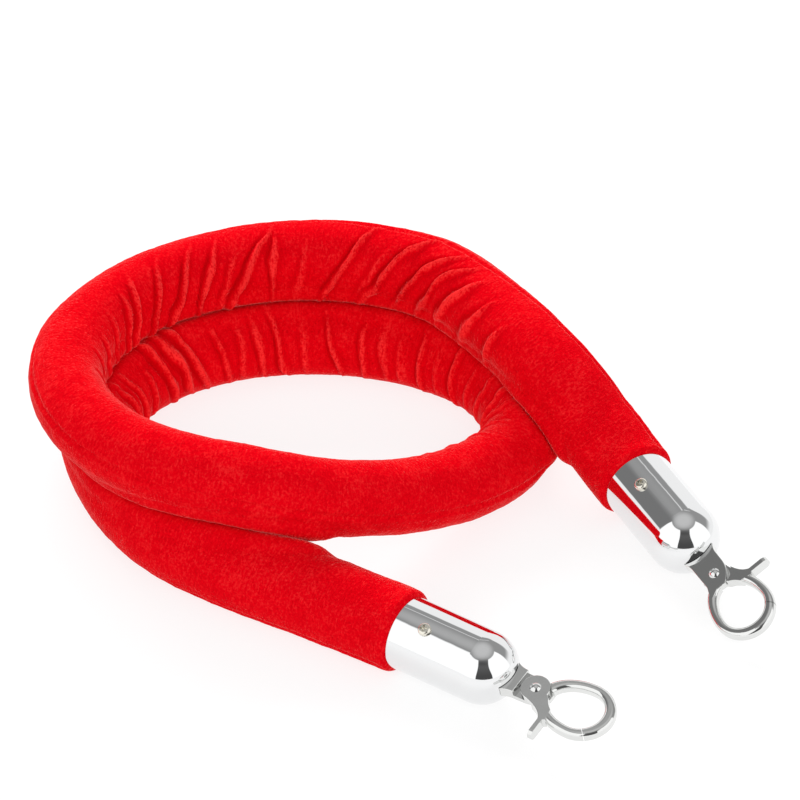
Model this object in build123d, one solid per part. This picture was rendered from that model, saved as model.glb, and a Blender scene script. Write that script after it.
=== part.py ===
from build123d import *
import copy
import os
from math import cos, degrees, pi, radians, sin, sqrt, tan

# Velvet barrier rope, about 1.5 m long over its hooks, laid down in one and three-quarter turns.
# Millimetres, +Z up. The origin is on the ground, under the middle of the whole rope's box.

# ---- rope ----
ROPE_D = 39.0            # over the velvet
VELVET_T = 1.5           # backing and pile
CORD_D = 5.0             # tension cord in the middle of the soft core
CORD_GAP = 0.1           # round the tension cord
NECK_L = 2.0             # the velvet narrows over this length as it enters a cap
ROPE_IN_CAP = 24.0       # rope inside each cap
ARC_SHARE = 0.45         # the share of the shorter run that a bend's arc takes up

# Middle of the rope, from its end in cap A to its end in cap B: along the ground and round the lower turn,
# up over itself at the front, round the upper turn and down to the ground. A loop makes each turn of the
# coil. The points outside the turns are rounded from a line fitted to the photo, and the last two adjusted.
FLOOR_RUN = [(25, -117, 19.5), (-23, -83, 19.5), (-76, -54, 19.5), (-123, -22, 19.5)]
CROSSING = [(22, -3, 28), (-29, -33, 48)]
RUN_DOWN = [(50, 110, 61), (81, 61, 60), (112.4, 32.7, 26.6), (135.6, -9.2, 22.4)]


def turn_points(middle, half_x, half_y, start_deg, step_deg, count, height, dip):
    """One turn of the coil, clockwise round an ellipse. It lies lower by dip halfway along."""
    points = []
    for number in range(count):
        angle = radians(start_deg - step_deg * number)
        z = height - dip * sin(pi * number / (count - 1)) ** 2
        points.append((middle[0] + half_x * cos(angle), middle[1] + half_y * sin(angle), z))
    return points


LOWER_TURN = turn_points((-45, 61), 114, 85, 203, 31, 8, 19.5, 0)
UPPER_TURN = turn_points((-50, 61), 124, 101, 262, 26, 9, 61.5, 5.5)
ROUTE = FLOOR_RUN + LOWER_TURN + CROSSING + UPPER_TURN + RUN_DOWN

# ---- end cap ----
CAP_D = 38.0
CAP_T = 1.7
CAP_BARREL_L = 45.5      # mouth to the start of the round nose
CAP_RIM_R = 0.5
CAP_R = CAP_D / 2
CAP_IN_R = CAP_R - CAP_T
CAP_L = CAP_BARREL_L + CAP_R

# ---- cap screws, two to a cap, opposite each other ----
SCREW_FROM_MOUTH = 17.5
SCREW_HEAD_D = 6.8
SCREW_HEAD_H = 2.2
SCREW_D = 3.5
SCREW_TIP_R = 4.5        # the tip's distance from the cap's axis
SCREW_RECESS = (3.6, 0.9, 1.2)   # length, width and depth of each slot of the cross

# ---- end plug ----
PLUG_SHANK_D = 17.0
PLUG_SHANK_FROM = 2.0
PLUG_HEAD_L = 9.0
PLUG_GAP = 0.05
KNOT_D = 12.0

# ---- swivel ----
STUD_D = 5.0
STUD_FIT = 0.05          # radial gap in the cap's nose
STUD_HEAD_D = 9.0
STUD_HEAD_H = 2.8
STUD_TIP_D = 4.0
STUD_TIP_L = 4.2         # pressed into the hook
WASHER_D = 12.0
WASHER_T = 1.1
SWIVEL_GAP = 0.3         # cap nose to hook

# ---- hook, in its own plane: X along the cap's axis from the gate's rivet, Y toward the lever ----
RIVET_FROM_NOSE = 13.5
HOOK_T = 6.2
HALF_T = HOOK_T / 2
LAP_GAP = 0.1            # ear to hub
EASE_R = 0.35            # edges of the flat parts
RING_X = 27.0            # middle of the ring's round tip
HOLE_R = (11.3, 18.1, 11.3)    # the hole from there: toward the tip, toward the cap, to each side
RING_R = (17.7, 24.5, 16.5)    # the same for the ring's outside
RING_EDGE_R = 2.3
JOINT_X = 23.6           # the gate meets the fixed half on a slope through this point
JOINT_DEG = 45.0         # and this steep, from the hook's middle line
JOINT_GAP = 0.3
HUB_R = 7.6
HUB_CLEAR_R = 8.2
STEP_X = -8.9            # the full-thickness base ends here
BASE_HALF_W = 7.5
BASE_FLARE = 9.1         # half width where it meets the cap
EAR_END = (9.0, 1.2, -4.1)   # X of the ear's straight end and its two Y limits
LEVER_X = (11.3, 13.6)
LEVER_TIP_Y = 25.4
LEVER_ROUND_R = 3.0

# ---- gate rivet and spring ----
RIVET_D = 3.2
RIVET_FIT = 0.05
RIVET_HEAD_D = 5.8
RIVET_HEAD_H = 1.6
RIVET_END_GAP = 0.1
SPRING_WIRE_D = 0.6
SPRING_MEAN_D = 6.6
SPRING_PITCH = 0.75
SPRING_TURNS = 2
SPRING_POCKET_D = 8.2
SPRING_POCKET_L = 2.4

# ---- how each end lies: turns about the cap's axis, from level, in degrees ----
ENDS = {
    "a": {"lever_turn": 195.0, "screw_turn": 120.0},
    "b": {"lever_turn": 30.0, "screw_turn": 120.0},
}

UP = Vector(0, 0, 1)
ROPE_R = ROPE_D / 2
CORE_R = ROPE_R - VELVET_T
TUCK_R = CAP_IN_R - PLUG_GAP       # velvet inside a cap
TUCK_CORE_R = TUCK_R - VELVET_T
CORD_BORE_R = CORD_D / 2 + CORD_GAP


def bend_radii(points):
    """The largest radius that each bend's two runs allow, with the turn in degrees."""
    radii = []
    for before, at, after in zip(points, points[1:], points[2:]):
        run_in = at - before
        run_out = after - at
        turn = run_in.get_angle(run_out)
        radius = ARC_SHARE * min(run_in.length, run_out.length) / tan(radians(turn) / 2)
        radii.append((radius, turn))
    return radii


def rope_path(from_mouth):
    """The rope's middle, from the mouth of cap A to the mouth of cap B, less from_mouth at each end."""
    points = [Vector(*point) for point in ROUTE]
    radii = [radius for radius, turn in bend_radii(points)]
    inset = ROPE_IN_CAP + from_mouth
    points[0] = points[0] + (points[1] - points[0]).normalized() * inset
    points[-1] = points[-1] + (points[-2] - points[-1]).normalized() * inset
    return FilletPolyline(*points, radius=radii)


def end_plane(end):
    """A cap's frame: origin in the middle of its mouth, Z toward its nose, X level, Y up."""
    tip, inner = (ROUTE[0], ROUTE[1]) if end == "a" else (ROUTE[-1], ROUTE[-2])
    tip = Vector(*tip)
    outward = (tip - Vector(*inner)).normalized()
    mouth = tip - outward * ROPE_IN_CAP
    return Plane(origin=mouth, x_dir=UP.cross(outward), z_dir=outward)


def hook_plane(end):
    """A hook's frame: origin on the gate's pivot, X away from the cap, Y toward the lever."""
    cap = end_plane(end)
    turn = radians(ENDS[end]["lever_turn"])
    lever_way = cap.x_dir * cos(turn) + cap.y_dir * sin(turn)
    origin = cap.origin + cap.z_dir * (CAP_L + RIVET_FROM_NOSE)
    return Plane(origin=origin, x_dir=cap.z_dir, z_dir=cap.z_dir.cross(lever_way))


def place(plane, shape):
    return plane.location * shape


def tube(outer_r, inner_r, path):
    """A round tube, or a solid rod where inner_r is 0, along the path."""
    section = Circle(outer_r)
    if inner_r:
        section -= Circle(inner_r)
    start = Plane(origin=path @ 0, z_dir=path % 0)
    return sweep(start * section, path=path)


def turned(profile):
    """A body of revolution about Z from (radius, height) points."""
    return revolve(make_face(Polyline(*[(r, 0, z) for r, z in profile], close=True)), Axis.Z)


def disc(radius, low, high):
    return Pos(0, 0, low) * Cylinder(radius, high - low, align=(Align.CENTER, Align.CENTER, Align.MIN))


def screw_places(end):
    """Where the two screws stand on a cap, Z pointing out of it."""
    turn = ENDS[end]["screw_turn"]
    for angle in (turn, turn + 180):
        yield Pos(0, 0, SCREW_FROM_MOUTH) * Rot(0, 0, angle) * Rot(0, 90, 0)


def screw_holes(end, radius):
    return [place_at * disc(radius, 0, CAP_R + 1) for place_at in screw_places(end)]


# ---- rope ----
def in_cap_sleeve(end):
    """The velvet's narrowing neck and the part tucked into the cap."""
    profile = [
        (CORE_R, -NECK_L),
        (ROPE_R, -NECK_L),
        (TUCK_R, 0),
        (TUCK_R, ROPE_IN_CAP),
        (TUCK_CORE_R, ROPE_IN_CAP),
        (TUCK_CORE_R, 0),
    ]
    shape = turned(profile)
    for hole in screw_holes(end, SCREW_D / 2):
        shape -= hole
    return place(end_plane(end), shape)


def in_cap_core(end):
    shank_r = PLUG_SHANK_D / 2
    profile = [
        (CORD_BORE_R, -NECK_L),
        (CORE_R, -NECK_L),
        (TUCK_CORE_R, 0),
        (TUCK_CORE_R, ROPE_IN_CAP),
        (shank_r, ROPE_IN_CAP),
        (shank_r, PLUG_SHANK_FROM),
        (CORD_BORE_R, PLUG_SHANK_FROM),
    ]
    shape = turned(profile)
    for hole in screw_holes(end, SCREW_D / 2):
        shape -= hole
    return place(end_plane(end), shape)


def velvet_sleeve():
    body = tube(ROPE_R, CORE_R, rope_path(NECK_L))
    return body + in_cap_sleeve("a") + in_cap_sleeve("b")


def foam_core():
    body = tube(CORE_R, CORD_BORE_R, rope_path(NECK_L))
    return body + in_cap_core("a") + in_cap_core("b")


def tension_cord():
    """The cord down the middle, with a knot behind each plug."""
    body = tube(CORD_D / 2, 0, rope_path(0))
    plug_end = ROPE_IN_CAP + PLUG_HEAD_L
    knot_z = plug_end + KNOT_D / 2
    for end in ENDS:
        tail = disc(CORD_D / 2, 0, knot_z)
        knot = Pos(0, 0, knot_z) * Sphere(KNOT_D / 2)
        knot -= disc(KNOT_D, 0, plug_end)
        body += place(end_plane(end), tail + knot)
    return body


# ---- cap ----
def end_cap(end):
    nose_r = STUD_D / 2 + STUD_FIT
    shell = disc(CAP_R, 0, CAP_BARREL_L) + Pos(0, 0, CAP_BARREL_L) * Sphere(CAP_R)
    rim = shell.edges().filter_by(GeomType.CIRCLE).sort_by(Axis.Z)[0]
    shell = fillet(rim, CAP_RIM_R)
    shell -= disc(CAP_IN_R, -1, CAP_BARREL_L) + Pos(0, 0, CAP_BARREL_L) * Sphere(CAP_IN_R)
    shell -= disc(nose_r, CAP_BARREL_L, CAP_L + 1)
    for hole in screw_holes(end, SCREW_D / 2 + STUD_FIT):
        shell -= hole
    return place(end_plane(end), shell)


def pan_screw():
    """A pan-head screw along Z, with its head's underside on the cap's outside."""
    shank = disc(SCREW_D / 2, SCREW_TIP_R, CAP_R)
    head = disc(SCREW_HEAD_D / 2, CAP_R, CAP_R + SCREW_HEAD_H)
    top = head.edges().filter_by(GeomType.CIRCLE).sort_by(Axis.Z)[-1]
    head = fillet(top, SCREW_HEAD_H * 0.7)
    length, width, depth = SCREW_RECESS
    for turn in (0, 90):
        slot = Box(length, width, depth * 2)
        head -= Pos(0, 0, CAP_R + SCREW_HEAD_H) * Rot(0, 0, turn + 20) * slot
    return shank + head


def cap_screws(end):
    screw = pan_screw()
    solids = [place(end_plane(end), place_at * screw) for place_at in screw_places(end)]
    return Compound(children=solids)


def end_plug(end):
    shank_r = PLUG_SHANK_D / 2
    bore_r = CORD_D / 2
    head_from = ROPE_IN_CAP
    head_to = ROPE_IN_CAP + PLUG_HEAD_L
    profile = [
        (bore_r, PLUG_SHANK_FROM),
        (shank_r, PLUG_SHANK_FROM),
        (shank_r, head_from),
        (TUCK_R, head_from),
        (TUCK_R, head_to - 1),
        (TUCK_R - 1, head_to),
        (bore_r, head_to),
    ]
    shape = turned(profile)
    for place_at in screw_places(end):
        shape -= place_at * disc(SCREW_D / 2, SCREW_TIP_R, CAP_R)
    return place(end_plane(end), shape)


# ---- swivel ----
def washer_top():
    """Height above the mouth at which a flat washer rests inside the round nose."""
    return CAP_BARREL_L + sqrt(CAP_IN_R ** 2 - (WASHER_D / 2) ** 2)


def swivel_washer(end):
    top = washer_top()
    shape = disc(WASHER_D / 2, top - WASHER_T, top) - disc(STUD_D / 2 + STUD_FIT, 0, CAP_L)
    return place(end_plane(end), shape)


def swivel_stud(end):
    head_top = washer_top() - WASHER_T - STUD_FIT
    shape = disc(STUD_HEAD_D / 2, head_top - STUD_HEAD_H, head_top)
    shape += disc(STUD_D / 2, head_top, CAP_L)
    shape += disc(STUD_TIP_D / 2, CAP_L, CAP_L + SWIVEL_GAP + STUD_TIP_L)
    return place(end_plane(end), shape)


# ---- hook ----
def slab(face, low, high):
    return Pos(0, 0, low) * extrude(face, high - low)


def eased(body, level):
    """The body with the edges at this height a little rounded."""
    rims = [edge for edge in body.edges() if all(abs(point.Z - level) < 0.001 for point in edge.vertices())]
    return fillet(rims, EASE_R)


def oval(tip_r, cap_r, side_r):
    """Half an ellipse toward the ring's tip and a longer half toward the cap."""
    middle = (RING_X, 0)
    if tip_r == side_r:
        tip_half = CenterArc(middle, tip_r, -90, 180)
    else:
        tip_half = EllipticalCenterArc(middle, tip_r, side_r, -90, arc_size=180)
    cap_half = EllipticalCenterArc(middle, cap_r, side_r, 90, arc_size=180)
    return make_face(Curve() + [tip_half, cap_half])


def ring_part(from_deg, to_deg):
    """The ring between two directions from the joint's point, with rounded edges."""
    far = 60
    sweep_deg = to_deg - from_deg
    steps = 6
    wedge = [(JOINT_X, 0)]
    for step in range(steps + 1):
        angle = radians(from_deg + sweep_deg * step / steps)
        wedge.append((JOINT_X + far * cos(angle), far * sin(angle)))
    band = oval(*RING_R) - oval(*HOLE_R)
    band &= make_face(Polyline(*wedge, close=True))
    body = slab(band, -HALF_T, HALF_T)
    flat = [face for face in body.faces() if abs(abs(face.center().Z) - HALF_T) < 0.01]
    rims = [edge for face in flat for edge in face.edges() if edge.geom_type != GeomType.LINE]
    return fillet(rims, RING_EDGE_R)


def hole_through():
    return slab(oval(*HOLE_R), -HOOK_T, HOOK_T)


def base_face():
    """The hook's flared foot, up to the step."""
    nose_x = -RIVET_FROM_NOSE
    foot_x = nose_x - 4
    flare_x = nose_x - 2
    outline = [
        Line((foot_x, BASE_FLARE), (flare_x, BASE_FLARE)),
        ThreePointArc((flare_x, BASE_FLARE), (nose_x + 1.5, BASE_HALF_W + 0.25), (STEP_X, BASE_HALF_W)),
        Line((STEP_X, BASE_HALF_W), (STEP_X, -BASE_HALF_W)),
        ThreePointArc((STEP_X, -BASE_HALF_W), (nose_x + 1.5, -BASE_HALF_W - 0.25), (flare_x, -BASE_FLARE)),
        Line((flare_x, -BASE_FLARE), (foot_x, -BASE_FLARE)),
        Line((foot_x, -BASE_FLARE), (foot_x, BASE_FLARE)),
    ]
    return make_face(Curve() + outline)


def ear_face():
    """The half-thickness ear round the pivot, out to its straight end inside the ring."""
    end_x, end_high, end_low = EAR_END
    root_y = -BASE_HALF_W
    outline = [
        Line((STEP_X, BASE_HALF_W), (-4, BASE_HALF_W - 0.1)),
        ThreePointArc((-4, BASE_HALF_W - 0.1), (3.6, 5.6), (end_x, end_high)),
        Line((end_x, end_high), (end_x, end_low)),
        Line((end_x, end_low), (end_x + 4, -10.5)),
        Line((end_x + 4, -10.5), (4.4, root_y)),
        Line((4.4, root_y), (STEP_X, root_y)),
        Line((STEP_X, root_y), (STEP_X, BASE_HALF_W)),
    ]
    return make_face(Curve() + outline)


def hook_body(end):
    cap_nose = Pos(-RIVET_FROM_NOSE - CAP_R, 0, 0) * Sphere(CAP_R + SWIVEL_GAP)
    hub_room = disc(HUB_CLEAR_R, -HOOK_T, LAP_GAP)
    ear = eased(slab(base_face() + ear_face(), LAP_GAP, HALF_T), HALF_T) - hole_through()
    arc = ring_part(-171, JOINT_DEG) - hub_room
    base = eased(slab(base_face(), -HALF_T, LAP_GAP), -HALF_T)
    body = base + ear - cap_nose + arc
    body -= disc(RIVET_D / 2, -HOOK_T, HOOK_T)
    stud_bore = Rot(0, 90, 0) * disc(STUD_TIP_D / 2, 0, SWIVEL_GAP + STUD_TIP_L + 0.2)
    body -= Pos(-RIVET_FROM_NOSE, 0, 0) * stud_bore
    return place(hook_plane(end), body)


def lever():
    """The thumb tab: a thin upright plate as wide as the hook is thick, round at its tip."""
    low_x, high_x = LEVER_X
    root_y = RING_R[2] - 4
    length = LEVER_TIP_Y - root_y
    tab = Box(high_x - low_x, length, HOOK_T, align=(Align.MIN, Align.MIN, Align.CENTER))
    corners = [edge for edge in tab.edges().filter_by(Axis.X) if edge.center().Y > length / 2]
    return Pos(low_x, root_y, 0) * fillet(corners, LEVER_ROUND_R)


def neck_face():
    """Between the gate's hub, its lever and its half of the ring."""
    outline = [
        Spline([(-1.5, HUB_R - 0.3), (4.6, 9.4), (9.0, 12.2), (LEVER_X[0] + 0.2, 16.4)]),
        Line((LEVER_X[0] + 0.2, 16.4), (LEVER_X[1] + 1.6, 14.2)),
        Line((LEVER_X[1] + 1.6, 14.2), (14, 7.5)),
        Line((14, 7.5), (9.3, 2.4)),
        Line((9.3, 2.4), (6.5, 0)),
        Line((6.5, 0), (-1.5, HUB_R - 0.3)),
    ]
    return make_face(Curve() + outline)


def gate(end):
    ear_room = disc(HUB_CLEAR_R + 0.9, -LAP_GAP / 2, HOOK_T)
    joint_gap_deg = degrees(JOINT_GAP / RING_R[0])
    arm = ring_part(JOINT_DEG + joint_gap_deg, 150)
    neck = slab(neck_face(), -HALF_T, HALF_T)
    neck = eased(eased(neck, HALF_T), -HALF_T) - hole_through()
    body = arm + neck + lever() - ear_room
    body += eased(disc(HUB_R, -HALF_T, -LAP_GAP / 2), -HALF_T)
    body -= disc(RIVET_D / 2 + RIVET_FIT, -HOOK_T, HOOK_T)
    body -= disc(SPRING_POCKET_D / 2, -LAP_GAP / 2 - SPRING_POCKET_L, HOOK_T)
    return place(hook_plane(end), body)


def gate_rivet(end):
    """A plain pin with a domed head outside the ear and another outside the hub."""
    shape = disc(RIVET_D / 2, -HALF_T - RIVET_END_GAP, HALF_T)
    dome_r = ((RIVET_HEAD_D / 2) ** 2 + RIVET_HEAD_H ** 2) / (2 * RIVET_HEAD_H)
    for side, start in ((1, HALF_T), (-1, -HALF_T - RIVET_END_GAP)):
        low, high = sorted((start, start + side * RIVET_HEAD_H))
        dome = Pos(0, 0, start + side * (RIVET_HEAD_H - dome_r)) * Sphere(dome_r)
        shape += disc(RIVET_HEAD_D / 2, low, high) & dome
    return place(hook_plane(end), shape)


def gate_spring(end):
    """The torsion spring round the rivet, in the hub's pocket."""
    height = SPRING_PITCH * SPRING_TURNS
    coil = Helix(SPRING_PITCH, height, SPRING_MEAN_D / 2)
    wire = Plane(origin=coil @ 0, z_dir=coil % 0) * Circle(SPRING_WIRE_D / 2)
    shape = Pos(0, 0, -LAP_GAP / 2 - SPRING_POCKET_L + 0.45) * sweep(wire, path=coil)
    return place(hook_plane(end), shape)


def main():
    os.makedirs("parts", exist_ok=True)
    nodes = {
        "velvet_sleeve": velvet_sleeve(),
        "foam_core": foam_core(),
        "tension_cord": tension_cord(),
    }
    for end in ENDS:
        nodes[f"end_cap_{end}"] = end_cap(end)
        nodes[f"cap_screws_{end}"] = cap_screws(end)
        nodes[f"end_plug_{end}"] = end_plug(end)
        nodes[f"swivel_washer_{end}"] = swivel_washer(end)
        nodes[f"swivel_stud_{end}"] = swivel_stud(end)
        nodes[f"hook_body_{end}"] = hook_body(end)
        nodes[f"gate_{end}"] = gate(end)
        nodes[f"gate_rivet_{end}"] = gate_rivet(end)
        nodes[f"gate_spring_{end}"] = gate_spring(end)
    for name, shape in nodes.items():
        export_step(shape, f"parts/{name}.step")
    length = rope_path(0).length
    print(f"rope between the caps {length:.0f} mm, with its ends in them {length + 2 * ROPE_IN_CAP:.0f} mm")
    for number, (radius, turn) in enumerate(bend_radii([Vector(*point) for point in ROUTE]), 1):
        print(f"bend {number}: radius {radius:.0f} mm, {radius / ROPE_D:.1f} diameters, turn {turn:.0f} degrees")
    for name in ("velvet_sleeve", "foam_core", "tension_cord"):
        print(f"{name}: volume {nodes[name].volume:.0f} mm3")
    print("section of the sleeve times its length",
          round(3.14159 * (ROPE_R ** 2 - CORE_R ** 2) * length))
    box = Compound(children=[copy.copy(shape) for shape in nodes.values()]).bounding_box()
    print("box", box.min, box.max)
    for end in ENDS:
        hook = hook_plane(end)
        cap = end_plane(end)
        print(end, "cap axis", cap.origin, cap.z_dir, "rivet", hook.origin, "hook normal", hook.z_dir)
        print(end, "ring middle", hook.from_local_coords(Vector(RING_X, 0, 0)))


main()
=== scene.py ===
"""Velvet barrier rope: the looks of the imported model, in metres, +Z up."""
from math import cos, pi, radians, sin

import bpy
import numpy as np
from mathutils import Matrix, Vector


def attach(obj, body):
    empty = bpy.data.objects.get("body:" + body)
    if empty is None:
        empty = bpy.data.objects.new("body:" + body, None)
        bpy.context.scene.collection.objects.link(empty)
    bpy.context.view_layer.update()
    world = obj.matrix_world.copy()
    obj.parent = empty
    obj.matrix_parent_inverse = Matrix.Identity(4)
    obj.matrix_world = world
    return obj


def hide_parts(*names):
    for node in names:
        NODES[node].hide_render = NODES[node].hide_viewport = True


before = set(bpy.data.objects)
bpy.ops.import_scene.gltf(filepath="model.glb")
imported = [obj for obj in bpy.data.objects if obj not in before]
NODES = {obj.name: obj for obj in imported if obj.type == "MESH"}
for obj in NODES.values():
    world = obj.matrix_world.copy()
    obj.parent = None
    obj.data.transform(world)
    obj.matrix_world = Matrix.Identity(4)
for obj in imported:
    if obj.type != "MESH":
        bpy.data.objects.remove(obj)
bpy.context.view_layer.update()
ENDS = ("a", "b")

# ---- the rope's route and size ----
# Middle of the rope, from its end in cap A to its end in cap B: along the ground and round the lower turn,
# up over itself at the front, round the upper turn and down to the ground. A loop makes each turn of the
# coil. The points outside the turns are rounded from a line fitted to the photo, and the last two adjusted.
FLOOR_RUN = [
    (0.025, -0.117, 0.0195),
    (-0.023, -0.083, 0.0195),
    (-0.076, -0.054, 0.0195),
    (-0.123, -0.022, 0.0195),
]
CROSSING = [(0.022, -0.003, 0.028), (-0.029, -0.033, 0.048)]
RUN_DOWN = [
    (0.050, 0.110, 0.061),
    (0.081, 0.061, 0.060),
    (0.1124, 0.0327, 0.0266),
    (0.1356, -0.0092, 0.0224),
]


def turn_points(middle, half_x, half_y, start_deg, step_deg, count, height, dip):
    """One turn of the coil, clockwise round an ellipse. It lies lower by dip halfway along."""
    points = []
    for number in range(count):
        angle = radians(start_deg - step_deg * number)
        z = height - dip * sin(pi * number / (count - 1)) ** 2
        points.append((middle[0] + half_x * cos(angle), middle[1] + half_y * sin(angle), z))
    return points


LOWER_TURN = turn_points(
    (-0.045, 0.061), 0.114, 0.085, start_deg=203, step_deg=31, count=8, height=0.0195, dip=0.0
)
UPPER_TURN = turn_points(
    (-0.050, 0.061), 0.124, 0.101, start_deg=262, step_deg=26, count=9, height=0.0615, dip=0.0055
)
ROUTE = FLOOR_RUN + LOWER_TURN + CROSSING + UPPER_TURN + RUN_DOWN
ROPE_IN_CAP = 0.024
ROPE_D = 0.039
FLOOR_CLEAR = 0.0004
TOUCH_REACH = 0.010        # turns within half of this swell until they meet, less and less beyond it
STRAIGHT_OUT = 0.030       # the rope leaves each cap along the cap's axis, less and less over this length

# ---- the velvet tube's mesh ----
RING_STEP = 0.00115
RING_POINTS = 128
TUCK_R = 0.0170            # velvet just inside a cap
RIM_R = 0.0187             # where it passes the cap's rim
TURN_IN = 0.0038           # length over which it rounds in to the rim
MOUTH_FADE = 0.008         # folds, seam and unevenness start over this length from a cap
TUCK_DEPTHS = np.array([0.0215, 0.012, 0.004, 0.0015])   # rings of the tucked ends, into the cap
FLOOR_SOFT = 0.0006        # softness of the edge where the velvet lies flat on the floor
FLOOR_SOFT_REACH = 0.004   # height over which the drop that makes up for that softness fades out
# Radius of the stuffed rope at even stations from cap A to cap B: it is fullest beside the caps.
FULLNESS = (0.0218, 0.0213, 0.0199, 0.0195, 0.0195, 0.0197, 0.0193, 0.0206, 0.0217)
FULLNESS_BLUR = 81         # rings over which that radius is evened out


def lerp(low, high, share):
    return low + (high - low) * share


def smooth(share):
    share = np.clip(share, 0.0, 1.0)
    return share * share * (3.0 - 2.0 * share)


# ---- the rope's line ----
def route_line():
    """Points along the NURBS spline that has the route's points as its control points."""
    curve = bpy.data.curves.new("route", "CURVE")
    curve.dimensions = "3D"
    spline = curve.splines.new("NURBS")
    spline.points.add(len(ROUTE) - 1)
    for point, place in zip(spline.points, ROUTE):
        point.co = (*place, 1.0)
    spline.order_u = 3
    spline.use_endpoint_u = True
    spline.resolution_u = 24
    holder = bpy.data.objects.new("route", curve)
    mesh = bpy.data.meshes.new_from_object(holder)
    points = np.array([vertex.co[:] for vertex in mesh.vertices])
    bpy.data.objects.remove(holder)
    bpy.data.meshes.remove(mesh)
    return points


def along(points):
    steps = np.linalg.norm(np.diff(points, axis=0), axis=1)
    return np.concatenate([[0.0], np.cumsum(steps)])


def resample(points, places):
    length = along(points)
    return np.stack([np.interp(places, length, points[:, axis]) for axis in range(3)], axis=1)


def frames(points):
    """Tangent, upward and sideways directions at each point. Sideways is toward the inside of the coil."""
    tangent = np.gradient(points, axis=0)
    tangent /= np.linalg.norm(tangent, axis=1)[:, None]
    up = np.array([0.0, 0.0, 1.0]) - tangent[:, 2:3] * tangent
    up /= np.linalg.norm(up, axis=1)[:, None]
    return tangent, up, np.cross(tangent, up)


# ---- the folds of the velvet ----
# Each ridge of gathered velvet: place along the rope, turn round it from the top (90 is the inside of
# the coil), how far it leans along the rope per radian, its height, its half width, and the angle from
# its middle to its ends.
FOLDS = [
    # lower layer, round the back
    (0.2525, 60, 0.002, 0.0012, 0.0022, 55),
    (0.2660, 75, 0.004, 0.0018, 0.0024, 60),
    (0.2825, 80, 0.001, 0.0014, 0.0022, 50),
    (0.2960, 60, 0.006, 0.0030, 0.0030, 75),
    (0.3085, 60, 0.007, 0.0026, 0.0026, 70),
    (0.3185, 62, 0.008, 0.0028, 0.0026, 72),
    (0.3385, 75, 0.005, 0.0016, 0.0022, 60),
    (0.3500, 75, 0.003, 0.0012, 0.0022, 50),
    (0.3615, 75, 0.004, 0.0018, 0.0024, 62),
    (0.3735, 70, 0.004, 0.0020, 0.0020, 66),
    (0.3880, 80, 0.002, 0.0010, 0.0026, 48),
    (0.4050, 75, 0.005, 0.0019, 0.0022, 64),
    (0.4235, 78, 0.000, 0.0016, 0.0022, 60),
    (0.4370, 82, 0.001, 0.0012, 0.0026, 50),
    (0.4490, 80, 0.001, 0.0009, 0.0026, 46),
    (0.4605, 76, 0.001, 0.0017, 0.0022, 60),
    (0.4740, 80, 0.000, 0.0007, 0.0020, 50),
    (0.4865, 72, 0.000, 0.0018, 0.0024, 66),
    (0.5020, 80, -0.002, 0.0008, 0.0022, 56),
    (0.5170, 78, -0.002, 0.0010, 0.0022, 60),
    (0.5360, 62, 0.003, 0.0013, 0.0024, 66),
    (0.5520, 66, 0.003, 0.0013, 0.0024, 66),
    (0.5690, 60, 0.004, 0.0010, 0.0024, 60),
    (0.5870, 70, 0.003, 0.0010, 0.0024, 56),
    (0.6060, 74, 0.002, 0.0010, 0.0026, 52),
    (0.6260, 78, 0.002, 0.0009, 0.0026, 50),
    (0.6480, 84, 0.001, 0.0010, 0.0032, 44),
    # upper layer, round the left end and the back
    (0.8000, 92, 0.000, 0.0010, 0.0030, 40),
    (0.8240, 96, 0.001, 0.0007, 0.0021, 40),
    (0.8450, 98, 0.000, 0.0010, 0.0021, 44),
    (0.8640, 96, -0.002, 0.0011, 0.0021, 48),
    (0.8830, 96, -0.002, 0.0012, 0.0021, 50),
    (0.9010, 92, -0.003, 0.0011, 0.0021, 50),
    (0.9180, 88, -0.004, 0.0011, 0.0021, 52),
    (0.9330, 80, -0.006, 0.0018, 0.0024, 58),
    (0.9435, 74, -0.007, 0.0022, 0.0022, 62),
    (0.9600, 76, -0.010, 0.0024, 0.0022, 64),
    (0.9780, 72, -0.011, 0.0028, 0.0022, 66),
    (0.9965, 70, -0.009, 0.0024, 0.0022, 64),
    (1.0100, 78, -0.008, 0.0012, 0.0024, 50),
    (1.0230, 66, -0.013, 0.0030, 0.0026, 72),
    (1.0370, 68, -0.003, 0.0020, 0.0018, 62),
    (1.0540, 78, -0.005, 0.0010, 0.0026, 46),
    (1.0790, 62, -0.012, 0.0030, 0.0024, 72),
    (1.0960, 78, -0.010, 0.0010, 0.0026, 44),
    (1.1085, 58, -0.016, 0.0030, 0.0026, 72),
    (1.1275, 60, -0.015, 0.0028, 0.0026, 66),
    (1.1430, 62, -0.013, 0.0028, 0.0026, 66),
    (1.1580, 70, -0.012, 0.0026, 0.0030, 58),
    (1.1760, 78, -0.010, 0.0020, 0.0032, 54),
    (1.1960, 84, -0.008, 0.0016, 0.0032, 48),
]
FOLD_GAIN = 1.15           # on every ridge's height
FOLD_WIDTH = 0.84          # on every ridge's half width
FOLD_END_WIDTH = 0.60      # share of its width that a ridge keeps at its ends
FOLD_ROWS = 0.045          # rings further than this from a fold's middle aren't part of it
# The dips on a ridge's steep side (SHARP) and on its other side (SOFT): how far from it and how wide, in
# half widths, and how deep as a share of its height.
SHARP_AT, SHARP_WIDTH, SHARP_SINK = 1.6, 0.65, 0.42
SOFT_AT, SOFT_WIDTH, SOFT_SINK = 1.8, 0.9, 0.06
SOFT_CREASE_SHADE = 0.35         # how much painted crease shade the gentler dip puts in the colour
FULL_SHADING_HEIGHT = 0.0024       # ridges this tall get the full painted highlight on their crests and painted shade beside them
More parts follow.
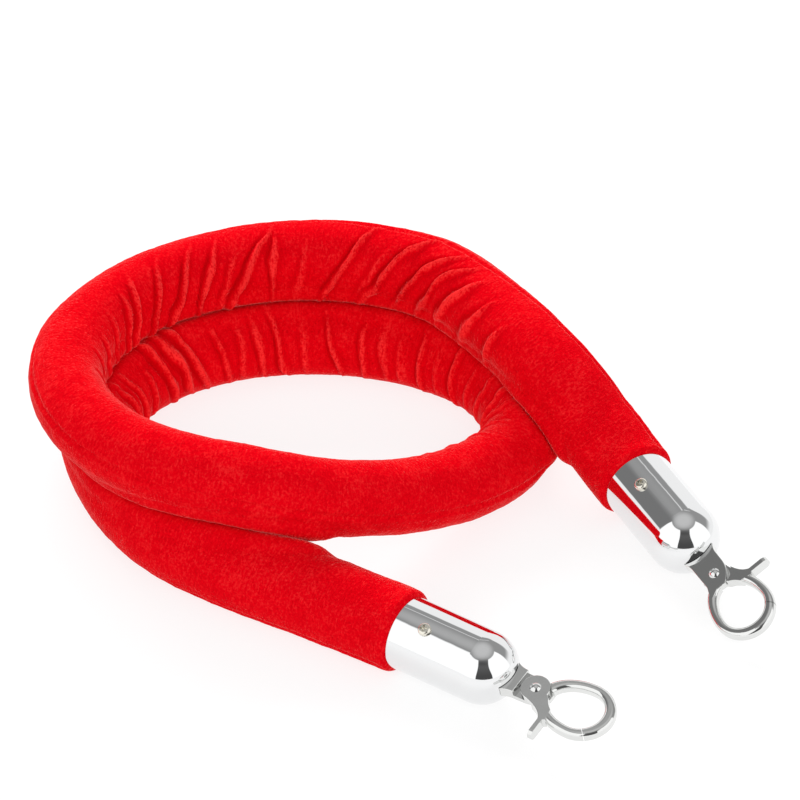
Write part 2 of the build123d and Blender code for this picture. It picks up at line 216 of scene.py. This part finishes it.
# Noise in layers: rows along the rope, columns round it, seed, height.
FOLD_WOBBLE = ((160, 7, 3, 0.0022), (420, 14, 4, 0.0006))
BULGES = ((26, 3, 11, 0.00045), (90, 7, 12, 0.00025), (330, 30, 13, 0.00012), (1000, 90, 14, 0.00010))


def noise_sheet(rows, columns, seed):
    """Smooth random values from -1 to 1 on a grid, even round the tube: a lattice with curved steps."""
    lattice = np.random.default_rng(seed).uniform(-1.0, 1.0, (rows + 3, columns))
    return np.concatenate([lattice, lattice[:, :3]], axis=1)


def noise_at(lattice, across, round_share):
    """The lattice's value where across runs from 0 to 1 along the rope and round_share round it."""
    rows = lattice.shape[0] - 3
    columns = lattice.shape[1] - 3
    row = np.clip(across, 0.0, 1.0) * rows
    column = (round_share % 1.0) * columns
    row_from = np.minimum(row.astype(int), rows - 1)
    column_from = np.minimum(column.astype(int), columns - 1)
    row_share = smooth(row - row_from)
    column_share = smooth(column - column_from)
    low = lerp(lattice[row_from, column_from], lattice[row_from, column_from + 1], column_share)
    high = lerp(lattice[row_from + 1, column_from], lattice[row_from + 1, column_from + 1], column_share)
    return lerp(low, high, row_share)


def uneven(place, turn, layers):
    """Sum of the layers of noise at places along the rope and turns round it."""
    total = np.zeros_like(place)
    for rows, columns, seed, tall in layers:
        total += tall * noise_at(noise_sheet(rows, columns, seed), place / place.max(), turn / (2 * pi))
    return total


def folds(place, turn):
    """Height of the velvet's folds over the smooth tube, and where their crests (1) and creases (-1) are.

    place is along the rope, turn is in radians.
    """
    height = np.zeros_like(place)
    fold_shading = np.zeros_like(place)
    wobble = uneven(place, turn, FOLD_WOBBLE)
    for middle, turn_deg, lean, tall, half_width, reach_deg in FOLDS:
        rows = np.where(np.abs(place[:, 0] - middle) < FOLD_ROWS)[0]
        offset = turn[rows] - radians(turn_deg)
        across = place[rows] - middle - lean * offset + wobble[rows]
        fade = smooth(1.3 - np.abs(offset) / radians(reach_deg))
        width = FOLD_WIDTH * half_width * lerp(FOLD_END_WIDTH, 1.0, fade)
        ridge = np.exp(-(across / width) ** 2)
        sharp = np.exp(-((across / width + SHARP_AT) / SHARP_WIDTH) ** 2)
        soft = np.exp(-((across / width - SOFT_AT) / SOFT_WIDTH) ** 2)
        height[rows] += FOLD_GAIN * tall * fade * (ridge - SHARP_SINK * sharp - SOFT_SINK * soft)
        # These values paint highlight on the ridges and shade in the dips beside them into the velvet's
        # colour.
        strength = min(tall / FULL_SHADING_HEIGHT, 1.0)
        fold_shading[rows] += strength * fade * (ridge - sharp - SOFT_CREASE_SHADE * soft)
    return height, np.clip(fold_shading, -1.0, 1.0)


# ---- the seam, along the outside of the coil ----
# Turn of the seam round the rope, in degrees from the top, at places along it in metres.
SEAM_PLACES = (0.0, 0.12, 0.40, 0.80, 1.00, 1.10, 1.15, 1.20, 1.30)
SEAM_TURNS = (-119.0, -126.0, -110.0, -75.0, -40.0, -14.0, -17.0, -34.0, -42.0)
SEAM_HALF_WIDTH = 0.0011
SEAM_DEPTH = 0.0011
STITCH_STEP = 0.0042
STITCH_PULL = 0.15
LIP_HEIGHT = 0.00035
LIP_FROM_SEAM = 0.0028
LIP_HALF_WIDTH = 0.0016


def seam_height(place, turn):
    """A narrow groove with a raised lip on each side, drawn in a little at each stitch."""
    middle = np.radians(np.interp(place, SEAM_PLACES, SEAM_TURNS))
    across = (turn - middle) * ROPE_D / 2
    pull = 1.0 - STITCH_PULL + STITCH_PULL * np.cos(2 * pi * place / STITCH_STEP)
    groove = -SEAM_DEPTH * pull * np.exp(-np.abs(across / SEAM_HALF_WIDTH) ** 1.5)
    lips = LIP_HEIGHT * np.exp(-((np.abs(across) - LIP_FROM_SEAM) / LIP_HALF_WIDTH) ** 2)
    return groove + lips


def rope_line():
    """The rope's middle from its end in cap A to its end in cap B; it runs straight out of each cap."""
    line = route_line()
    length = along(line)
    for end_point, next_point, from_end in (
        (ROUTE[0], ROUTE[1], length),
        (ROUTE[-1], ROUTE[-2], length[-1] - length),
    ):
        axis = np.array(next_point) - np.array(end_point)
        axis /= np.linalg.norm(axis)
        straight = np.array(end_point) + from_end[:, None] * axis
        hold = smooth(1.0 - (from_end - ROPE_IN_CAP) / STRAIGHT_OUT)[:, None]
        line = lerp(line, straight, hold)
    return line


def tube_points(line, places, radius, turns):
    """Rings of points round the line, at each place along it; radius has a value for every point."""
    middle = resample(line, places)
    up, side = frames(middle)[1:]
    out = np.cos(turns)[None, :, None] * up[:, None, :] + np.sin(turns)[None, :, None] * side[:, None, :]
    return middle[:, None, :] + radius[:, :, None] * out


def tube_object(name, points, material):
    """A closed tube from rings of points, with UVs in metres along and round it."""
    count, sides = points.shape[:2]
    verts = points.reshape(-1, 3)
    ring = np.arange(count - 1)[:, None] * sides
    at = np.arange(sides)[None, :]
    beyond = (at + 1) % sides
    quads = np.stack([ring + at, ring + beyond, ring + sides + beyond, ring + sides + at], axis=2)
    faces = quads.reshape(-1, 4).tolist()
    faces.append(list(range(sides))[::-1])
    faces.append([(count - 1) * sides + number for number in range(sides)])
    mesh = bpy.data.meshes.new(name)
    mesh.from_pydata(verts.tolist(), [], faces)
    mesh.shade_smooth()
    middle = points.mean(axis=1)
    length = along(middle)
    round_m = sides_length(points)
    layer = mesh.uv_layers.new(name="UVMap")
    along_uv = np.stack([length[:-1], length[:-1], length[1:], length[1:]], axis=1)
    along_uv = np.repeat(along_uv[:, None, :], sides, axis=1)
    round_uv = np.stack([at[0], at[0] + 1, at[0] + 1, at[0]], axis=1) / sides * round_m
    round_uv = np.repeat(round_uv[None, :, :], count - 1, axis=0)
    uv = np.stack([along_uv, round_uv], axis=3).reshape(-1, 2)
    ends = np.zeros((2 * sides, 2))
    layer.data.foreach_set("uv", np.concatenate([uv, ends]).astype(np.float32).ravel())
    mesh.materials.append(material)
    piece = bpy.data.objects.new(name, mesh)
    bpy.context.scene.collection.objects.link(piece)
    return piece


def sides_length(points):
    """Distance round a middle ring."""
    ring = points[len(points) // 2]
    return float(np.linalg.norm(ring - np.roll(ring, -1, axis=0), axis=1).sum())


def fullness_at(share):
    """The stuffed rope's radius, evened out between the stations."""
    stations = np.linspace(0.0, 1.0, len(FULLNESS))
    radius = np.interp(share, stations, FULLNESS)
    window = np.hanning(FULLNESS_BLUR)
    window /= window.sum()
    half = len(window) // 2
    return np.convolve(np.pad(radius, half, mode="edge"), window, mode="valid")


def velvet_rings(line):
    """The sewn sleeve: its fullness, folds, seam and unevenness, and its ends tucked into the caps.

    Gives its points and, for each, its fold shading from 1 on crests to -1 in creases, which paints
    highlight on the crests and shade in the creases.
    """
    total = along(line)[-1]
    count = int(round((total - 2 * ROPE_IN_CAP) / RING_STEP)) + 1
    places = np.linspace(ROPE_IN_CAP, total - ROPE_IN_CAP, count)
    turns = np.linspace(-pi, pi, RING_POINTS, endpoint=False)
    place = np.repeat((places - ROPE_IN_CAP)[:, None], RING_POINTS, axis=1)
    turn = np.repeat(turns[None, :], count, axis=0)
    from_mouth = np.minimum(place, place.max() - place)
    fold_height, fold_shading = folds(place, turn)
    height = fold_height + seam_height(place, turn) + uneven(place, turn, BULGES)
    radius = fullness_at(place[:, 0] / place.max())[:, None] + height * smooth(from_mouth / MOUTH_FADE)
    inward = np.clip(1.0 - from_mouth / TURN_IN, 0.0, 1.0)
    radius = lerp(RIM_R, radius, np.sqrt(1.0 - inward ** 2))
    body = tube_points(line, places, radius, turns)
    body = turns_touch(body, line, ROPE_D / 2)
    body[:, :, 2] = floor_rest(body[:, :, 2])
    tuck = np.full((len(TUCK_DEPTHS), RING_POINTS), TUCK_R)
    first = tube_points(line, ROPE_IN_CAP - TUCK_DEPTHS, tuck, turns)
    last = tube_points(line, total - ROPE_IN_CAP + TUCK_DEPTHS[::-1], tuck, turns)
    plain = np.zeros_like(tuck)
    return np.concatenate([first, body, last]), np.concatenate([plain, fold_shading, plain])


def turns_touch(points, line, reach):
    """Turns that overlap are pressed flat against each other, and close ones swell until they meet."""
    length = along(line)
    station_step = 0.004
    another_turn = ROPE_D * 4      # further off along the rope than this is another turn
    near = ROPE_D * 1.6
    stations = np.arange(0.0, length[-1], station_step)
    centres = resample(line, stations)
    count = len(points)
    places = np.linspace(ROPE_IN_CAP, length[-1] - ROPE_IN_CAP, count)
    middles = resample(line, places)
    out = points - middles[:, None, :]
    radius = np.linalg.norm(out, axis=2)
    grown = radius.copy()
    for number in range(count):
        far_along = np.abs(stations - places[number]) > another_turn
        near_by = np.linalg.norm(centres - middles[number], axis=1) < near
        others = centres[far_along & near_by]
        if not len(others):
            continue
        apart = np.linalg.norm(points[number][:, None, :] - others[None, :, :], axis=2).min(axis=1)
        gap = apart - reach
        share = np.where(gap < 0, 1.0, smooth(1.5 - gap / TOUCH_REACH))
        grown[number] = radius[number] + 0.5 * gap * share
    return middles[:, None, :] + out * (grown / radius)[:, :, None]


def floor_rest(height):
    """Velvet that would go under the floor lies flat on it, with a soft edge to the flat."""
    over = height - FLOOR_CLEAR
    rounded = FLOOR_CLEAR + 0.5 * (over + np.sqrt(over ** 2 + FLOOR_SOFT ** 2))
    return rounded - 0.5 * FLOOR_SOFT * np.exp(-np.maximum(over, 0) / FLOOR_SOFT_REACH)


# ---- materials ----
def new_material(name):
    material = bpy.data.materials.new(name)
    material.use_nodes = True
    tree = material.node_tree
    shader = tree.nodes["Principled BSDF"]
    return material, tree, shader


def node(tree, kind, inputs=None, **settings):
    made = tree.nodes.new(kind)
    for key, value in settings.items():
        setattr(made, key, value)
    for key, value in (inputs or {}).items():
        if isinstance(value, bpy.types.NodeSocket):
            tree.links.new(value, made.inputs[key])
        else:
            made.inputs[key].default_value = value
    return made


def ramp(tree, source, stops):
    made = tree.nodes.new("ShaderNodeValToRGB")
    tree.links.new(source, made.inputs["Fac"])
    elements = made.color_ramp.elements
    while len(elements) < len(stops):
        elements.new(0.5)
    for element, (place, colour) in zip(elements, stops):
        element.position = place
        element.color = (*colour, 1.0)
    return made.outputs["Color"]


def calc(tree, operation, first, second=0.0):
    return node(tree, "ShaderNodeMath", {0: first, 1: second}, operation=operation).outputs[0]


def map_to(tree, source, low, high, to_low=0.0, to_high=1.0):
    """The source from low to high turned smoothly into to_low to to_high."""
    sockets = {"Value": source, "From Min": low, "From Max": high, "To Min": to_low, "To Max": to_high}
    return node(tree, "ShaderNodeMapRange", sockets, interpolation_type="SMOOTHSTEP").outputs["Result"]


def blend(tree, share, low, high):
    return node(tree, "ShaderNodeMix", {0: share, 2: low, 3: high}, data_type="FLOAT").outputs[0]


def noise(tree, place, scale, detail, roughness=0.5):
    sockets = {"Vector": place, "Scale": scale, "Detail": detail, "Roughness": roughness}
    return node(tree, "ShaderNodeTexNoise", sockets).outputs["Fac"]


def bumped(tree, height, strength, distance, normal=None):
    sockets = {"Strength": strength, "Distance": distance, "Height": height}
    if normal:
        sockets["Normal"] = normal
    return node(tree, "ShaderNodeBump", sockets).outputs["Normal"]


def object_place(tree):
    return node(tree, "ShaderNodeTexCoord").outputs["Object"]


# The pile's reds, dark to light: random tone, and through the fold shading also painted highlight on crests
# and painted shade in creases.
VELVET_DEEP = (0.56, 0.0001, 0.0035)
VELVET_RED = (0.73, 0.0003, 0.0058)
VELVET_LIGHT = (0.94, 0.030, 0.030)
VELVET_SHEEN = (1.0, 0.24, 0.22)
VELVET_STOPS = [(0.30, VELVET_DEEP), (0.50, VELVET_RED), (0.76, VELVET_LIGHT)]
FOLD_SHADING_SHARE = 0.40         # how far a crest's painted highlight moves up the scale of those stops, and a crease's painted shade down it
ROW_SCALE = (1100.0, 260.0, 1.0)
WOOD_DARK = (0.50, 0.34, 0.19)
WOOD_LIGHT = (0.70, 0.53, 0.34)


def velvet_material():
    """Cut pile: crushed patches, fine tufts in rows round the rope, painted fold highlights and shade, and
    a soft sheen.
    """
    material, tree, shader = new_material("velvet")
    coordinates = node(tree, "ShaderNodeTexCoord").outputs
    rows = node(tree, "ShaderNodeMapping", {"Vector": coordinates["UV"], "Scale": ROW_SCALE})
    crush = noise(tree, coordinates["Object"], 60.0, 5.0, 0.6)
    tufts = noise(tree, coordinates["Object"], 750.0, 2.0, 0.7)
    streaks = noise(tree, rows.outputs["Vector"], 1.0, 2.0)
    pile = blend(tree, 0.4, tufts, streaks)
    mixed = blend(tree, 0.76, crush, pile)
    # Painted light: the fold shading, speckled by the pile, lightens crests as painted highlight and
    # darkens creases as painted shade.
    fold_shading = node(tree, "ShaderNodeAttribute", attribute_name="fold_shading").outputs["Fac"]
    painted_fold_light = calc(tree, "MULTIPLY", fold_shading, map_to(tree, pile, 0.38, 0.58, 0.35, 1.0))
    tone = calc(tree, "ADD", mixed, calc(tree, "MULTIPLY", painted_fold_light, FOLD_SHADING_SHARE))
    tree.links.new(ramp(tree, tone, VELVET_STOPS), shader.inputs["Base Color"])
    coarse = bumped(tree, crush, 0.5, 0.0009)
    tree.links.new(bumped(tree, pile, 1.0, 0.0010, coarse), shader.inputs["Normal"])
    shader.inputs["Roughness"].default_value = 0.9
    shader.inputs["Specular IOR Level"].default_value = 0.02
    shader.inputs["Sheen Weight"].default_value = 1.0
    shader.inputs["Sheen Roughness"].default_value = 0.17
    shader.inputs["Sheen Tint"].default_value = (*VELVET_SHEEN, 1.0)
    return material


def plain_fibre(name, colour, scale, depth):
    """Matt fibres: a noise for the colour and the bump."""
    material, tree, shader = new_material(name)
    fibres = noise(tree, object_place(tree), scale, 4.0, 0.7)
    dark = tuple(value * 0.7 for value in colour)
    tree.links.new(ramp(tree, fibres, [(0.35, dark), (0.65, colour)]), shader.inputs["Base Color"])
    tree.links.new(bumped(tree, fibres, 0.6, depth), shader.inputs["Normal"])
    shader.inputs["Roughness"].default_value = 0.95
    return material


def metal(name, colour, roughness, smear, bump_scale, bump_depth):
    """Plated metal: faint smears in its gloss and a slight waviness from the polishing."""
    material, tree, shader = new_material(name)
    place = object_place(tree)
    marks = noise(tree, place, 90.0, 4.0, 0.6)
    gloss_range = {"From Min": 0.35, "From Max": 0.7, "To Min": roughness, "To Max": roughness + smear}
    gloss = node(tree, "ShaderNodeMapRange", {"Value": marks, **gloss_range})
    tree.links.new(gloss.outputs["Result"], shader.inputs["Roughness"])
    waves = noise(tree, place, bump_scale, 2.0)
    tree.links.new(bumped(tree, waves, 0.3, bump_depth), shader.inputs["Normal"])
    shader.inputs["Metallic"].default_value = 1.0
    shader.inputs["Base Color"].default_value = (*colour, 1.0)
    return material


def wood_material():
    """Turned wood with a fine, wavy grain."""
    material, tree, shader = new_material("plug_wood")
    waves = {"Vector": object_place(tree), "Scale": 220.0, "Distortion": 3.0, "Detail": 3.0}
    grain = node(tree, "ShaderNodeTexWave", waves).outputs["Fac"]
    tree.links.new(ramp(tree, grain, [(0.2, WOOD_DARK), (0.8, WOOD_LIGHT)]), shader.inputs["Base Color"])
    shader.inputs["Roughness"].default_value = 0.6
    return material


# ---- pieces ----
line = rope_line()
LENGTH = float(along(line)[-1])

rings, fold_shadings = velvet_rings(line)
velvet = tube_object("velvet_cover", rings, velvet_material())
# The fold shading attribute, for the velvet's painted highlight on crests and painted shade in creases.
fold_shading_layer = velvet.data.attributes.new("fold_shading", "FLOAT", "POINT")
fold_shading_layer.data.foreach_set("value", fold_shadings.astype(np.float32).ravel())
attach(velvet, "rope")
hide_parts("velvet_sleeve")


def core_rings(line):
    """The filling: five faint ribs along it, and a little narrower inside the caps."""
    ring_count, ring_points = 660, 24
    end_gap = 0.0005
    in_cap_r, free_r, rib = 0.0150, 0.0152, 0.0002
    places = np.linspace(end_gap, LENGTH - end_gap, ring_count)
    turns = np.linspace(-pi, pi, ring_points, endpoint=False)
    from_mouth = np.minimum(places, LENGTH - places) - ROPE_IN_CAP
    radius = lerp(in_cap_r, free_r, smooth(from_mouth / 0.01))[:, None] + rib * np.cos(5 * turns)[None, :]
    return tube_points(line, places, radius, turns)


FILLING = plain_fibre("core_fibre", (0.85, 0.83, 0.78), 300.0, 0.001)
core = tube_object("fibre_core", core_rings(line), FILLING)
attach(core, "rope")
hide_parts("foam_core")

CHROME = metal("mirror_chrome", (0.84, 0.845, 0.85), 0.02, 0.03, 55.0, 0.0003)
CAST_CHROME = metal("cast_chrome", (0.76, 0.765, 0.755), 0.05, 0.07, 130.0, 0.0002)
SCREW = metal("zinc_screw", (0.80, 0.77, 0.68), 0.16, 0.12, 300.0, 0.0002)
WIRE = metal("spring_wire", (0.55, 0.55, 0.56), 0.25, 0.1, 500.0, 0.0001)
WOOD = wood_material()
LOOKS = {
    "end_cap": CHROME,
    "cap_screws": SCREW,
    "end_plug": WOOD,
    "swivel_washer": SCREW,
    "swivel_stud": CAST_CHROME,
    "hook_body": CAST_CHROME,
    "gate": CAST_CHROME,
    "gate_rivet": CAST_CHROME,
    "gate_spring": WIRE,
}
for end in ENDS:
    for part, look in LOOKS.items():
        NODES[f"{part}_{end}"].material_slots[0].material = look
BRAID = plain_fibre("cord_braid", (0.9, 0.88, 0.82), 900.0, 0.0004)
NODES["tension_cord"].material_slots[0].material = BRAID

# ---- floor, lights and camera ----
FLOOR_HALF = 8.0
FLOOR_GREY = 0.22
FLOOR_GLOW = 0.80          # strength of the floor's own white light


def floor_plane():
    corners = [(x * FLOOR_HALF, y * FLOOR_HALF, 0.0) for x, y in ((-1, -1), (1, -1), (1, 1), (-1, 1))]
    mesh = bpy.data.meshes.new("floor")
    mesh.from_pydata(corners, [], [(0, 1, 2, 3)])
    material, tree, shader = new_material("floor_white")
    shader.inputs["Base Color"].default_value = (FLOOR_GREY, FLOOR_GREY, FLOOR_GREY, 1.0)
    shader.inputs["Roughness"].default_value = 0.9
    shader.inputs["Specular IOR Level"].default_value = 0.0
    shader.inputs["Emission Color"].default_value = (1.0, 1.0, 1.0, 1.0)
    shader.inputs["Emission Strength"].default_value = FLOOR_GLOW
    mesh.materials.append(material)
    floor = bpy.data.objects.new("floor", mesh)
    bpy.context.scene.collection.objects.link(floor)


def softbox(name, place, width, height, power):
    """An area lamp facing the origin, which mirrors don't show."""
    lamp = bpy.data.lights.new(name, "AREA")
    lamp.shape = "RECTANGLE"
    lamp.size = width
    lamp.size_y = height
    lamp.energy = power
    holder = bpy.data.objects.new(name, lamp)
    holder.location = place
    holder.visible_glossy = False
    holder.rotation_euler = (-Vector(place)).to_track_quat("-Z", "Y").to_euler()
    bpy.context.scene.collection.objects.link(holder)


LOOK_AT = Vector((0.002, 0.087, 0.020))
VIEW_DISTANCE = 3.0
VIEW_ELEVATION = radians(37.4)
LENS_MM = 257.3

# Greys of the studio that the chrome shows.
CEILING = 0.27
CEILING_LEFT = 0.165
CEILING_FRONT_SHARE = 0.22
CEILING_GLOW = 0.50
TUBE_LAMP = 0.62
TUBE_LAMP_UP = radians(53)
BACK_WALL = 0.83
FRONT_PANELS = 1.0
GAP_DARK = 0.06
GAP_TOP = 0.10
STUDIO_STRENGTH = 1.2

floor_plane()
softbox("front_box", (0.3, -2.2, 1.8), 1.8, 1.2, 24.0)
softbox("back_box", (-0.5, 2.2, 1.5), 2.6, 1.0, 75.0)


def ceiling_tone(tree, x, y, z):
    """Grey, darker to the left and toward the front, with a wide glow overhead and one tube lamp."""
    tone = map_to(tree, x, -0.62, -0.35, CEILING_LEFT, CEILING)
    tone = calc(tree, "MULTIPLY", tone, map_to(tree, y, -0.72, -0.28, CEILING_FRONT_SHARE, 1.0))
    tone = blend(tree, map_to(tree, z, cos(radians(36)), cos(radians(8))), tone, CEILING_GLOW)
    up_back = calc(tree, "ARCTAN2", z, y)
    from_tube = calc(tree, "ABSOLUTE", calc(tree, "SUBTRACT", up_back, TUBE_LAMP_UP))
    beside = calc(tree, "ABSOLUTE", x)
    tube = calc(tree, "MULTIPLY", map_to(tree, from_tube, 0.022, 0.008), map_to(tree, beside, 0.30, 0.22))
    return blend(tree, tube, tone, TUBE_LAMP)


def studio_world():
    """A white back wall, two white panels in front with a dark gap between them, and a grey ceiling.

    Here x, y and z are a direction's right, back and up, and each map_to makes one soft edge or slope.
    """
    world = bpy.data.worlds.new("studio")
    world.use_nodes = True
    tree = world.node_tree
    way = node(tree, "ShaderNodeTexCoord").outputs["Generated"]
    x, y, z = node(tree, "ShaderNodeSeparateXYZ", {"Vector": way}).outputs
    tone = ceiling_tone(tree, x, y, z)
    wall_top = map_to(tree, y, 0.45, 0.65, 0.30, 0.665)
    wall_blur = map_to(tree, x, 0.5, 0.7, 0.02, 0.16)
    above_wall = calc(tree, "DIVIDE", calc(tree, "SUBTRACT", z, wall_top), wall_blur)
    tone = blend(tree, map_to(tree, above_wall, 1.0, -1.0), tone, BACK_WALL)
    from_left = calc(tree, "SUBTRACT", x, map_to(tree, z, 0.0, 0.8, -0.33, -0.20))
    from_right = calc(tree, "SUBTRACT", x, map_to(tree, z, 0.0, 0.8, 0.50, 0.30))
    left_panel = map_to(tree, from_left, 0.015, -0.015)
    right_panel = map_to(tree, from_right, -0.015, 0.015)
    beside_gap = calc(tree, "MAXIMUM", left_panel, right_panel)
    in_front = map_to(tree, y, -0.2, -0.3)
    gap = calc(tree, "MULTIPLY", in_front, map_to(tree, z, 0.80, 0.60))
    tone = blend(tree, gap, tone, map_to(tree, z, 0.1, 0.75, GAP_DARK, GAP_TOP))
    panels = calc(tree, "MULTIPLY", beside_gap, map_to(tree, y, 0.08, 0.03))
    panels = calc(tree, "MULTIPLY", panels, map_to(tree, z, 0.855, 0.825))
    tone = blend(tree, panels, tone, FRONT_PANELS)
    backdrop = tree.nodes["Background"]
    tree.links.new(tone, backdrop.inputs["Color"])
    backdrop.inputs["Strength"].default_value = STUDIO_STRENGTH
    bpy.context.scene.world = world


studio_world()
bpy.context.scene.view_settings.view_transform = "Standard"

lens = bpy.data.cameras.new("camera")
lens.lens = LENS_MM
lens.sensor_width = 36.0
camera = bpy.data.objects.new("camera", lens)
camera.location = LOOK_AT + VIEW_DISTANCE * Vector((0.0, -cos(VIEW_ELEVATION), sin(VIEW_ELEVATION)))
camera.rotation_euler = (pi / 2 - VIEW_ELEVATION, 0.0, 0.0)
lens.clip_end = 100.0
bpy.context.scene.collection.objects.link(camera)
bpy.context.scene.camera = camera
